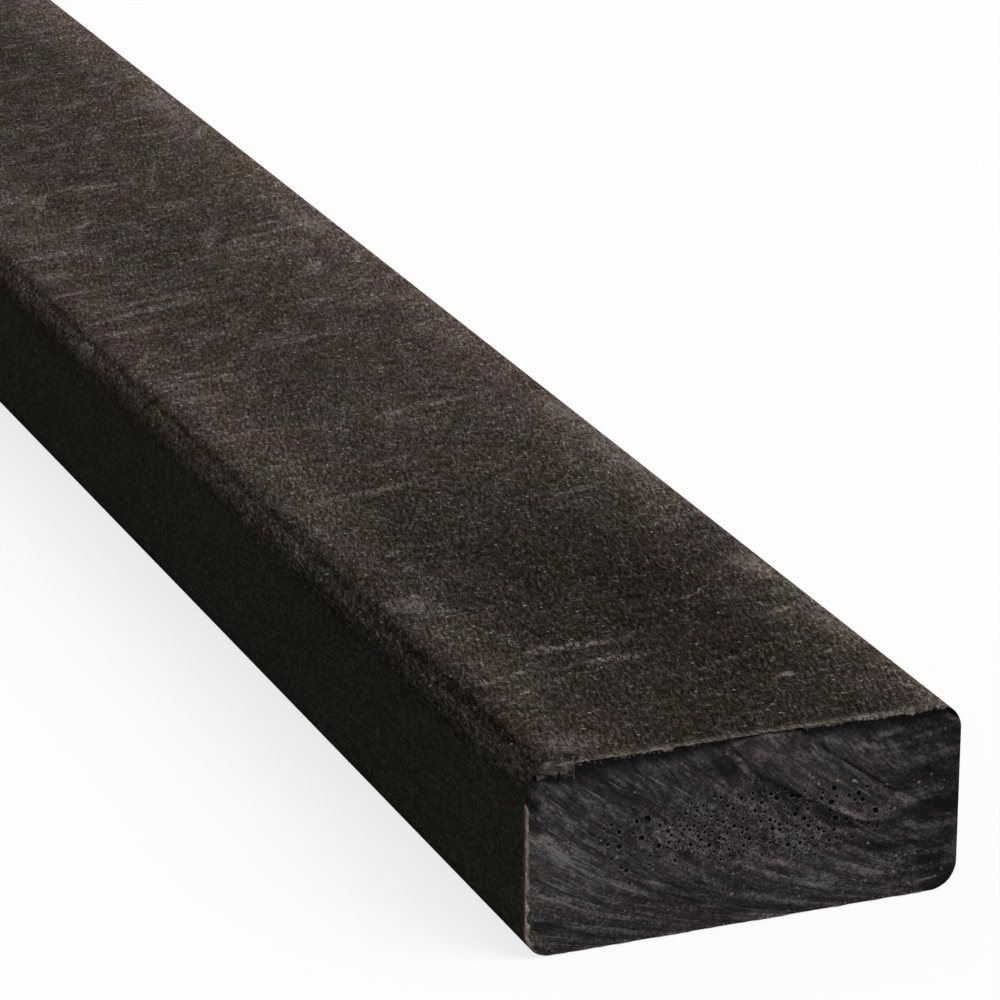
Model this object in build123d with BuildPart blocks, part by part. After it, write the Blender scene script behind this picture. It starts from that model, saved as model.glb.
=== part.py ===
from build123d import *
import math
import os

# A plastic lumber board of the nominal two-by-four section, lying on its wide face.
# Its length runs along X, its width along Y and its thickness up Z, and the origin is at the
# middle of the underside. Both ends are sawn square across, and they are alike.

# Board
board_length = 1219.2
board_width = 88.9
board_thickness = 38.1
edge_radius = 5.5

# Mould seam, a shallow crease along one upper long edge, so many degrees round from the side
crease_width = 1.8
crease_depth = 0.35
crease_turn = 64

# Pores of the foamed core, open on the sawn ends as tapered pits with a few flat sides
pore_sides = 8
pore_floor_share = 0.3

# Small pores, over the middle of the section, in shares of its width and thickness
small_pore_diameter = 0.8
small_pore_depth = 0.6
small_pore_count = 40
small_pores_width_share = 0.38
small_pores_height_share = 0.32
small_pores_rise_share = 0.47

# Large pores, in a cluster towards each narrow side, in shares of the width and thickness
large_pore_diameter = 1.5
large_pore_depth = 1.0
large_pore_count = 8
large_pores_width_share = 0.125
large_pores_height_share = 0.2
large_pores_rise_share = 0.565
large_pores_offset_share = 0.24

# The crease is an arc of this radius, from its width and depth, centred outside the rounding
crease_radius = ((crease_width / 2) ** 2 + crease_depth**2) / (2 * crease_depth)
crease_reach = edge_radius + crease_radius - crease_depth
crease_across = board_width / 2 - edge_radius + crease_reach * math.cos(math.radians(crease_turn))
crease_up = board_thickness - edge_radius + crease_reach * math.sin(math.radians(crease_turn))

golden_turn = math.pi * (3 - math.sqrt(5))


def spread(count, width_share, height_share, offset_share, rise_share):
    """Places spread over an ellipse on the sawn end, each one golden turn on from the last."""
    places = []
    for number in range(count):
        reach_share = math.sqrt((number + 1) / count)
        across_share = offset_share + width_share / 2 * reach_share * math.cos(number * golden_turn)
        up_share = rise_share + height_share / 2 * reach_share * math.sin(number * golden_turn)
        places.append((board_width * across_share, board_thickness * up_share))
    return places


def wall_taper(diameter, depth):
    """Degrees that a pit's walls lean in, so that its floor is the given share of its mouth."""
    return math.degrees(math.atan(diameter / 2 * (1 - pore_floor_share) / depth))


small_pores = spread(
    small_pore_count, small_pores_width_share, small_pores_height_share, 0, small_pores_rise_share
)
large_pores = []
for offset_share in (-large_pores_offset_share, large_pores_offset_share):
    large_pores += spread(
        large_pore_count,
        large_pores_width_share,
        large_pores_height_share,
        offset_share,
        large_pores_rise_share,
    )
small_pore_taper = wall_taper(small_pore_diameter, small_pore_depth)
large_pore_taper = wall_taper(large_pore_diameter, large_pore_depth)

sawn_end = Plane(origin=(board_length / 2, 0, 0), x_dir=(0, 1, 0), z_dir=(1, 0, 0))

with BuildPart() as board:
    # Half the length of the rounded section, with the crease in the rounding on the -Y side
    with BuildSketch(Plane.YZ) as section:
        with Locations((0, board_thickness / 2)):
            RectangleRounded(board_width, board_thickness, edge_radius)
        with Locations((-crease_across, crease_up)):
            Circle(crease_radius, mode=Mode.SUBTRACT)
    extrude(amount=board_length / 2)

    # Tapered pits in the sawn end, where the saw opened the core's bubbles
    with BuildSketch(sawn_end) as small_mouths:
        with Locations(small_pores):
            RegularPolygon(small_pore_diameter / 2, pore_sides, major_radius=False)
    extrude(amount=-small_pore_depth, taper=small_pore_taper, mode=Mode.SUBTRACT)
    with BuildSketch(sawn_end) as large_mouths:
        with Locations(large_pores):
            RegularPolygon(large_pore_diameter / 2, pore_sides, major_radius=False)
    extrude(amount=-large_pore_depth, taper=large_pore_taper, mode=Mode.SUBTRACT)

    # The other half of the length
    mirror(about=Plane.YZ)

board.part.label = "board"

os.makedirs("parts", exist_ok=True)
export_step(board.part, "parts/board.step")
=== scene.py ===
import itertools
import math

import bmesh
import bpy
import numpy as np
from mathutils import Matrix, Vector, noise


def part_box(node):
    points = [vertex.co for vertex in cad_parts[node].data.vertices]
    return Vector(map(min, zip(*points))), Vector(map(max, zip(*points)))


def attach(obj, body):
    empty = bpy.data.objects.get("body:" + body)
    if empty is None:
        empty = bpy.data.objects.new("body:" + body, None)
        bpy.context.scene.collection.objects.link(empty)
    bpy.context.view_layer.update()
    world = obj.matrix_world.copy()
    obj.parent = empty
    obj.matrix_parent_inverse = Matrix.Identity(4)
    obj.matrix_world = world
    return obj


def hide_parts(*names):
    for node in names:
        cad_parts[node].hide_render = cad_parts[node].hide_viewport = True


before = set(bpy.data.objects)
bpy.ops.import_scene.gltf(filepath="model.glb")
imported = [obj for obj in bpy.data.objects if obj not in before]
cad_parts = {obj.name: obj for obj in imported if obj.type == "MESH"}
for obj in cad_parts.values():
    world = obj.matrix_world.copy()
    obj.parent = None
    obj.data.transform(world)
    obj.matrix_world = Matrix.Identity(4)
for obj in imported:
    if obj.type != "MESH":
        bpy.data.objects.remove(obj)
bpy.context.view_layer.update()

# Sizes of the board, in metres, from the frame and from its moulded section
mm = 0.001
low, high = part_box("board")
length, width, thickness = high - low
front = high.x
back = low.x
half_width = width / 2
edge_radius = 5.5 * mm
crease_turn = math.radians(64)
crease_depth = 0.35 * mm
crease_width = 2.8 * mm

# How finely the board's faces are divided
rounding_steps = 18
strips_across = 22
strips_up = 8
front_strip_steps = 9
back_strip_steps = 4
end_band = 3 * mm
blend_band = 8 * mm
length_steps = 10
corner_rest = 0.01 * mm
band_steps = 6

# Lengths that tell parts of the board apart: places that count as one, edges of the flat faces and of
# the strips along the rim, and points at an end's corners and in its grid that are merged
same_place = 0.01 * mm
shortest_flat = 10 * mm
shortest_strip = 2 * mm
corner_reach = 0.25 * mm
merge_reach = 0.18 * mm

random_places = np.random.default_rng(254)

# The board's finishes after the skin and the sawn face, with how light each is and how much that varies
burr_finishes = [("bubble_rim", 0.072, 2.6), ("bubble_wall", 0.02, 0.8), ("shallow_bubble", 0.03, 1.2)]
rim_finish = 2
wall_finish = 3
shallow_finish = 4


# Modelling helpers

def pick(piece, kind, test):
    """In edit mode, select only the vertices, edges or faces that pass the test."""
    modes = {"verts": "VERT", "edges": "EDGE", "faces": "FACE"}
    bpy.ops.mesh.select_mode(type=modes[kind])
    bpy.ops.mesh.select_all(action="DESELECT")
    shape = bmesh.from_edit_mesh(piece.data)
    shape.normal_update()
    for part in getattr(shape, kind):
        if test(part):
            part.select_set(True)
    bmesh.update_edit_mesh(piece.data)


def middle(edge):
    return (edge.verts[0].co + edge.verts[1].co) / 2


def runs_along(edge, axis):
    """True if the edge is parallel to the X, Y or Z axis, numbered 0, 1 and 2."""
    run = edge.verts[1].co - edge.verts[0].co
    return abs(run[axis]) > 0.999 * run.length


def cut_across(x):
    """Cut the whole board's faces across at one place along it."""
    bpy.ops.mesh.select_all(action="SELECT")
    bpy.ops.mesh.bisect(plane_co=(x, 0, 0), plane_no=(1, 0, 0))


def points_of(piece):
    points = np.empty(len(piece.data.vertices) * 3)
    piece.data.vertices.foreach_get("co", points)
    return points.reshape(-1, 3)


def set_points(piece, points):
    piece.data.vertices.foreach_set("co", points.ravel())
    piece.data.update()


def lumps(points, size, seed):
    """Smooth random heights from about -1 to 1, in lumps of the given size."""
    shift = Vector((seed * 7.31, seed * 3.17, seed * 1.93))
    return np.array([noise.noise(Vector(p) / size + shift) for p in points])


def eased(values, start, end):
    """0 before the start, 1 after the end, and an S-shaped rise between."""
    share = np.clip((values - start) / (end - start), 0, 1)
    return share * share * (3 - 2 * share)


# Board

def moulded_bar():
    """The open tube of the moulded skin: a bar with four rounded long edges, divided for its relief."""
    bpy.ops.object.select_all(action="DESELECT")
    bpy.ops.mesh.primitive_cube_add(
        size=1, location=(0, 0, thickness / 2), scale=(length, width, thickness)
    )
    board = bpy.context.object
    board.name = "lumber_board"
    board.data.name = "lumber_board"
    bpy.ops.object.transform_apply(location=True, rotation=True, scale=True)
    bpy.ops.object.mode_set(mode="EDIT")
    pick(board, "edges", lambda edge: runs_along(edge, 0))
    bpy.ops.mesh.bevel(
        offset=edge_radius, offset_type="OFFSET", segments=rounding_steps, profile=0.5, affect="EDGES"
    )
    pick(board, "faces", lambda face: abs(face.normal.x) > 0.9)
    bpy.ops.mesh.delete(type="ONLY_FACE")
    pick(board, "edges", lambda edge: runs_along(edge, 1) and edge.calc_length() > shortest_flat)
    bpy.ops.mesh.subdivide(number_cuts=strips_across - 1)
    pick(board, "edges", lambda edge: runs_along(edge, 2) and edge.calc_length() > shortest_flat)
    bpy.ops.mesh.subdivide(number_cuts=strips_up - 1)
    for band in (end_band, blend_band):
        cut_across(front - band)
        cut_across(back + band)
    for shortest in (0.5 * length, 0.03 * length):
        pick(board, "edges", lambda edge: runs_along(edge, 0) and edge.calc_length() > shortest)
        bpy.ops.mesh.subdivide(number_cuts=length_steps - 1)
    return board


def press_crease(board):
    """The mould seam: a shallow crease in the rounding above the -Y side."""
    points = points_of(board)
    across = points[:, 1] + (half_width - edge_radius)
    up = points[:, 2] - (thickness - edge_radius)
    on_rounding = (across < -1e-7) & (up > 1e-7)
    turn = np.arctan2(up, -across)
    reach = np.abs(turn - crease_turn) * edge_radius
    depth = crease_depth * (1 - eased(reach, 0, crease_width / 2)) * on_rounding
    points[:, 1] += depth * np.cos(turn)
    points[:, 2] -= depth * np.sin(turn)
    set_points(board, points)


def sawn_cap(board, end, strip_steps, ring_widths):
    """Close one end: fine strips round its rim, rings that follow the outline, and a grid inside."""
    inward = -math.copysign(1, end)
    rim_rows = (end, end + inward * end_band)

    def at_end(place):
        return abs(place.x - end) < same_place

    def on_rim(edge):
        place = middle(edge).x
        return min(abs(place - rim_rows[0]), abs(place - rim_rows[1])) < same_place

    def on_strip(edge):
        return on_rim(edge) and not runs_along(edge, 0) and edge.calc_length() > shortest_strip

    pick(board, "edges", on_strip)
    bpy.ops.mesh.subdivide(number_cuts=strip_steps - 1)
    pick(board, "edges", lambda edge: runs_along(edge, 0) and abs(middle(edge).x - end) < end_band)
    bpy.ops.mesh.subdivide(number_cuts=band_steps - 1)
    pick(board, "edges", lambda edge: edge.is_boundary and at_end(middle(edge)))
    bpy.ops.mesh.edge_face_add()
    for ring in ring_widths:
        bpy.ops.mesh.inset(thickness=ring, use_even_offset=True)
    inner = edge_radius - corner_rest
    for across in (inner - half_width, half_width - inner):
        for up in (inner, thickness - inner):
            corner = Vector((end, across, up))
            pick(board, "verts", lambda vert: (vert.co - corner).length < corner_reach)
            bpy.ops.mesh.merge(type="CENTER")
    largest = 0.3 * width * thickness
    pick(board, "faces", lambda face: abs(face.normal.x) > 0.9 and face.calc_area() > largest)
    bpy.ops.mesh.delete(type="ONLY_FACE")
    def level_at_end(edge):
        return edge.is_boundary and not runs_along(edge, 2) and at_end(middle(edge))

    pick(board, "edges", level_at_end)
    bpy.ops.mesh.bridge_edge_loops(number_cuts=strips_up * strip_steps - 1, interpolation="LINEAR")
    pick(board, "verts", lambda vert: vert.is_boundary and at_end(vert.co))
    bpy.ops.mesh.remove_doubles(threshold=merge_reach)


# Map for the board's finishes, in pixels of a square picture: the moulded skin in two
# halves next to each other, the ends beside them, the front one larger, and a strip of small cells above
# the skin, one for each shred and crumb

map_name = "OFBake"
map_pixels = 1024
map_edge = 4
map_gap = 6
skin_scale = 1.52 / mm
front_scale = 6.6 / mm
back_scale = 4.55 / mm
furthest_lip = 1.3 * mm
half_length = length / 2 + furthest_lip
half_round = half_width + thickness / 2 - 2 * edge_radius + edge_radius * math.pi / 2
ends_start = 2 * (4 * half_round * skin_scale + map_gap)
back_start = width * front_scale + 2 * map_gap
cells_start = half_length * skin_scale + map_gap
cell_size = np.array((11.8, 10))
cell_gap = 2
cells_in_row = 63
cell_rows = 8
free_cells = iter(range(cell_rows * cells_in_row))


def way_round(across, up):
    """How far round the moulded section places lie: from the middle of a side, up or down to the middle."""
    beyond_side = np.abs(across) - (half_width - edge_radius)
    flat_side = thickness / 2 - edge_radius
    above = np.abs(up - thickness / 2)
    turn = np.arctan2(np.maximum(above - flat_side, 0), np.maximum(beyond_side, 0))
    way = np.minimum(above, flat_side) + edge_radius * turn + np.maximum(-beyond_side, 0)
    return np.where(up > thickness / 2, way, -way)


def lay_map(board):
    """Lay the moulded skin and the two sawn ends out flat on the map."""
    mesh = board.data
    while mesh.uv_layers:
        mesh.uv_layers.remove(mesh.uv_layers[0])
    corners = [corner for face in mesh.polygons for corner in face.vertices]
    face_of = np.repeat(np.arange(len(mesh.polygons)), [face.loop_total for face in mesh.polygons])
    middle_x, middle_across, _ = np.array([face.center for face in mesh.polygons])[face_of].T
    on_skin = np.array([face.material_index == 0 for face in mesh.polygons])[face_of]
    x, across, up = points_of(board)[corners].T
    in_front = middle_x > 0
    way = way_round(across, up)
    way = np.where(middle_across > 0, way, 2 * half_round - way) + half_round
    skin_u = way * skin_scale + np.where(in_front, 0, ends_start / 2)
    skin_v = (x + np.where(in_front, 0, half_length)) * skin_scale
    end_scale = np.where(in_front, front_scale, back_scale)
    end_u = ends_start + np.where(in_front, thickness - up, up) * end_scale
    end_v = (across + half_width) * end_scale + np.where(in_front, 0, back_start)
    places = np.column_stack((np.where(on_skin, skin_u, end_u), np.where(on_skin, skin_v, end_v)))
    board_map = mesh.uv_layers.new(name=map_name)
    board_map.uv.foreach_set("vector", ((places + map_edge) / map_pixels).ravel())


def map_small(mesh, count, places):
    """Give each of a mesh's equal small shapes a cell of its own on the map."""
    cells = []
    for number in itertools.islice(free_cells, count):
        corner = np.array((number % cells_in_row, number // cells_in_row)) * cell_size + (0, cells_start)
        cells.append(corner + places * (cell_size - cell_gap))
    small_map = mesh.uv_layers.new(name=map_name)
    small_map.uv.foreach_set("vector", ((np.concatenate(cells) + map_edge) / map_pixels).ravel())


# Sawn ends

saw_radius = 100 * mm
saw_drop = 1 * mm
saw_rise = 0.3 * mm

# The raised tongue of plastic that the saw left on the front end: its slope across the face, its upper
# side's distance across that slope, and, at places along the slope, its lower side's and its height
tongue_slope = math.atan2(-12.5, 16.9)
tongue_top = 35.5 * mm
tongue_runs = [-26, -15, -9.5, -1.6, 3.1, 9.3, 14.2, 17]
tongue_lower = [27.6, 25.3, 25.9, 26.2, 26.8, 27.9, 30.3, 33.5]
tongue_heights = [0.95, 0.8, 0.45, 0.35, 0.5, 0.65, 0.45, 0]

# The ragged lip that the saw pushed out round the front end: how far in it reaches along the upper edge,
# from -Y to +Y, and along the two upright edges, from below, and how far the hollow under it reaches
lip_places = [-44.4, -42, -41, -35.5, -34.5, -25, -15.5, -14.5, -2, -1, 11, 12, 24.5, 25.5, 40, 41.5, 44]
lip_reaches = [-0.4, 0.4, 1.8, 1.8, 0.1, 0.2, 0.5, 0.1, 0.05, 0.05, 0.1, 0.6, 0.55, 0.9, 0.8, 0.3, -0.6]
left_lip_places = [0, 3, 29.5, 31.5, 36]
left_lip_reaches = [0.3, 0.6, 0.65, -0.4, -0.6]
right_lip_places = [0, 4, 28.5, 29.2, 30.6, 31.2, 33, 35]
right_lip_reaches = [0.0, -0.5, -0.5, -0.3, -0.3, -0.4, -0.5, -0.5]
hollow_places = [-44, -38, -34.5, -25, -15, -5, -1, 11, 13, 24, 26, 41, 44]
hollow_reaches = [2.2, 2.6, 4.2, 4.2, 3.8, 2.8, 0.6, 0.5, 2.9, 3.4, 4.3, 2.4, 0.5]
hollow_depth = 1.1 * mm
lip_stand = 0.65 * mm
lower_lip_stand = 0.2 * mm
lip_fade = (-0.15 * mm, 0.3 * mm)


def inside_outline(across, up):
    """How far places on the sawn end lie inside the board's outline."""
    beyond_side = np.abs(across) - (half_width - edge_radius)
    beyond_top = np.abs(up - thickness / 2) - (thickness / 2 - edge_radius)
    corner = np.hypot(np.maximum(beyond_side, 0), np.maximum(beyond_top, 0))
    return edge_radius - corner - np.minimum(np.maximum(beyond_side, beyond_top), 0)


def lip_on(across, up, points, seed):
    """How far the ragged lip reaches in from the outline, and how far it stands out, at each place."""
    beyond_side = np.maximum(np.abs(across) - (half_width - edge_radius), 1e-9)
    beyond_top = np.maximum(np.abs(up - thickness / 2) - (thickness / 2 - edge_radius), 1e-9)
    side_share = beyond_side**2 / (beyond_side**2 + beyond_top**2)
    upper = up > thickness / 2
    ragged = 0.6 * lumps(points, 2.6 * mm, seed) + 0.5 * lumps(points, 0.9 * mm, seed + 1)
    upper_reach = np.interp(across / mm, lip_places, lip_reaches) * mm
    lower_reach = (0.9 * lumps(points, 3 * mm, seed + 3) - 0.05) * mm
    level_reach = np.where(upper, upper_reach, lower_reach)
    right_reach = np.interp(up / mm, right_lip_places, right_lip_reaches) * mm
    left_reach = np.interp(up / mm, left_lip_places, left_lip_reaches)
    left_reach = (left_reach + 0.6 * lumps(points, 3 * mm, seed + 6) * (left_reach > 0)) * mm
    side_reach = np.where(across < 0, left_reach, right_reach)
    reach = side_share * side_reach + (1 - side_share) * level_reach
    stands = side_share * lip_stand + (1 - side_share) * np.where(upper, lip_stand, lower_lip_stand)
    stands = saw_rise + stands * (1 + 0.55 * lumps(points, 1.4 * mm, seed + 2))
    loose = np.abs(reach) + np.where(upper, 0.3, 0) * (1 - side_share) * mm
    return reach + loose * 0.8 * ragged, stands


def saw_track(across, up):
    """A number that stays the same along each of the saw's curved tracks over the end."""
    rise = np.maximum(up + saw_drop, 0.2 * mm)
    return across + np.sqrt(2 * saw_radius * rise - rise**2)


def saw_waves(across, up, seed):
    """Shallow ridges along the saw's tracks."""
    track = saw_track(across, up)
    flat = np.zeros_like(track)
    broad = lumps(np.column_stack((track, up / 6, flat)), 2.4 * mm, seed)
    fine = lumps(np.column_stack((track, up / 8, flat)), 1.1 * mm, seed + 1)
    level = lumps(np.column_stack((up, across / 7, flat)), 2.2 * mm, seed + 2)
    right = eased(across, 26 * mm, 34 * mm)
    return (1 - right) * (0.09 * broad + 0.05 * fine) * mm + right * 0.12 * mm * level


def tongue(across, up):
    """Height of the torn tongue of plastic on the front end, with the groove along its upper side."""
    along = across * math.cos(tongue_slope) + up * math.sin(tongue_slope)
    aside = up * math.cos(tongue_slope) - across * math.sin(tongue_slope)
    lower = np.interp(along / mm, tongue_runs, tongue_lower) * mm
    height = np.interp(along / mm, tongue_runs, tongue_heights) * mm
    body = eased(aside - lower, -0.25 * mm, 0.3 * mm) * (1 - eased(aside - tongue_top, -0.3 * mm, 0.3 * mm))
    bead = np.exp(-(((aside - lower - 0.4 * mm) / (0.55 * mm)) ** 2)) * eased(along, 0, 5 * mm)
    bead = bead * (1 - eased(along, 12 * mm, 15 * mm))
    groove = np.exp(-(((aside - tongue_top - 0.2 * mm) / (0.4 * mm)) ** 2))
    groove = groove * eased(along, -14 * mm, -10 * mm) * (1 - eased(along, 9 * mm, 14 * mm))
    return body * height + 0.3 * mm * bead - 0.45 * mm * groove


def saw_off(board, end, seed, plain):
    """Shape one sawn end: the saw's waves, the lip round its edge and, on the front, the tongue."""
    outward = math.copysign(1, end)
    points = points_of(board)
    near = np.flatnonzero(np.abs(points[:, 0] - end) < end_band + same_place)
    spots = points[near]
    across = spots[:, 1]
    up = spots[:, 2]
    behind = np.abs(spots[:, 0] - end)
    gap = inside_outline(across, up)
    on_cap = behind < 0.001 * mm
    flat_spots = np.column_stack((np.zeros(len(near)), across, up))
    reach, stands = lip_on(across, up, flat_spots, seed)
    lip = 1 - eased(gap, reach + lip_fade[0], reach + lip_fade[1])
    rim_lip = 1 - eased(0 * gap, reach + lip_fade[0], reach + lip_fade[1])
    hollow_reach = np.interp(across / mm, hollow_places, hollow_reaches) * mm
    hollow_end = hollow_reach * (1 + 0.5 * lumps(flat_spots, 3 * mm, seed + 4))
    hollow = 1 - eased(gap - reach, 0.5 * hollow_reach, 1.25 * hollow_end)
    hollow = hollow * eased(up, 0.62 * thickness, 0.78 * thickness) * (0.35 if plain else 1)
    relief = saw_waves(across, up, seed + 5) + 0.12 * mm * lumps(flat_spots, 9 * mm, seed + 9)
    relief = relief - hollow_depth * hollow
    if not plain:
        relief = relief + tongue(across, up)
    relief = relief * eased(gap, 0, 0.6 * mm) + saw_rise
    height = np.where(on_cap, lip * stands + (1 - lip) * relief, 0)
    rim_height = rim_lip * stands + (1 - rim_lip) * saw_rise
    stretch = np.where(on_cap, 0, rim_height * np.clip(1 - behind / end_band, 0, 1))
    spots[:, 0] += outward * (height + stretch)
    points[near] = spots
    set_points(board, points)
    fringe = np.where(up > 0.9 * thickness, 1.9, 0.9) * mm
    fringe = fringe * (1 + 0.8 * lumps(flat_spots, 1.7 * mm, seed))
    torn_skin = rim_lip * (1 - eased(behind, 0.2 * mm, np.maximum(fringe, 0.3 * mm)))
    torn = np.where(on_cap, lip, torn_skin)
    # The last share marks the hollow under the lip, where the sawn face gets painted shade
    return near, torn, np.where(on_cap, hollow * (1 - lip), 0)


# Torn shreds on the lip: how many, from where to where on the front end, each across and up it, how
# far in from there they start, their shortest and longest length, and their thickness at the root
shred_runs = [
    (60, (-42, 38), (-34.8, 38), 2.0, 0.3, 1.0, 0.7),
    (44, (-34.8, 38), (-15, 38), 0.6, 0.15, 0.45, 0.6),
    (30, (-15, 38), (12, 38), 0.4, 0.15, 0.35, 0.4),
    (22, (12, 38), (25, 38), 0.6, 0.15, 0.4, 0.45),
    (36, (25, 38), (41, 38), 1.0, 0.15, 0.45, 0.55),
    (80, (-44.4, 31), (-44.4, 5.5), 0.6, 0.1, 0.4, 0.55),
    (30, (-43.9, 4.5), (-39.5, 0.7), 0.8, 0.15, 0.4, 0.45),
    (80, (-39, 0.2), (34, 0.2), 0.5, 0.05, 0.25, 0.32),
]
plain_shred_runs = [(90, (-41, 38), (41, 38), 0.9, 0.3, 0.9, 0.5)]
shred_sides = 5
shred_steps = 4


def sliver(root, way, long, thick):
    """Points of one torn shred: a tapering sliver that droops as it leaves its root."""
    side = Vector(way).cross((0.3, 0.2, 1)).normalized()
    other = Vector(way).cross(side).normalized()
    turns = np.arange(shred_sides) * 2 * math.pi / shred_sides
    points = []
    for step in range(shred_steps + 1):
        share = step / shred_steps
        middle_of = root + np.array(way) * long * share + np.array((0, 0, -0.5 * long * share**2))
        wide = thick / 2 * (1 - 0.45 * share) * random_places.uniform(0.6, 1.4)
        ring = np.outer(np.cos(turns), side) + np.outer(np.sin(turns), other)
        points.append(middle_of + ring * wide)
    return np.concatenate(points)


def sliver_faces():
    faces = [list(range(shred_sides))[::-1]]
    for step in range(shred_steps):
        for number in range(shred_sides):
            following = (number + 1) % shred_sides
            corners = (number, following, following + shred_sides, number + shred_sides)
            faces.append([corner + step * shred_sides for corner in corners])
    faces.append([shred_steps * shred_sides + number for number in range(shred_sides)])
    return faces


def sliver_map():
    """Places in a cell, from 0 to 1, of a shred's corners: its sides, and its two ends above them."""
    turns = np.arange(shred_sides) * 2 * math.pi / shred_sides
    ring = 0.1 * np.column_stack((np.cos(turns), np.sin(turns)))
    places = list(ring + (0.25, 0.88))
    for step in range(shred_steps):
        for number in range(shred_sides):
            for over, on in ((0, 0), (1, 0), (1, 1), (0, 1)):
                places.append(((number + over) / shred_sides, 0.75 * (step + on) / shred_steps))
    return np.array(places + list(ring + (0.75, 0.88)))


def add_shreds(board, end, runs):
    """Torn shreds along one end's edges, joined to the board."""
    outward = math.copysign(1, end)
    section_middle = Vector((0, thickness / 2 / mm))
    points = []
    for count, start, finish, deepest, shortest, longest, thick in runs:
        run = Vector(finish) - Vector(start)
        inward = Vector((-run.y, run.x)).normalized()
        if inward.dot(section_middle - Vector(start)) < 0:
            inward = -inward
        for _ in range(count):
            spot = Vector(start) + run * random_places.uniform(0, 1)
            spot = (spot + inward * random_places.uniform(0.1, deepest)) * mm
            long = random_places.uniform(shortest, longest) * mm
            forward = outward * random_places.uniform(0.1, 0.9)
            aside = run.normalized() * random_places.normal(0, 0.5)
            way = Vector((forward, *(aside + inward * random_places.uniform(-0.1, 1))))
            root = np.array((end + outward * random_places.uniform(0.1, 0.4) * mm, *spot))
            points.append(sliver(root, way.normalized(), long, thick * random_places.uniform(0.6, 1) * mm))
    faces = []
    for number in range(len(points)):
        faces += [[corner + number * len(points[0]) for corner in face] for face in sliver_faces()]
    mesh = bpy.data.meshes.new("shreds")
    mesh.from_pydata(np.concatenate(points).tolist(), [], faces)
    mesh.materials.append(board.data.materials[0])
    map_small(mesh, len(points), sliver_map())
    shreds = bpy.data.objects.new("shreds", mesh)
    bpy.context.collection.objects.link(shreds)
    join_to(board, shreds)


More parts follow.
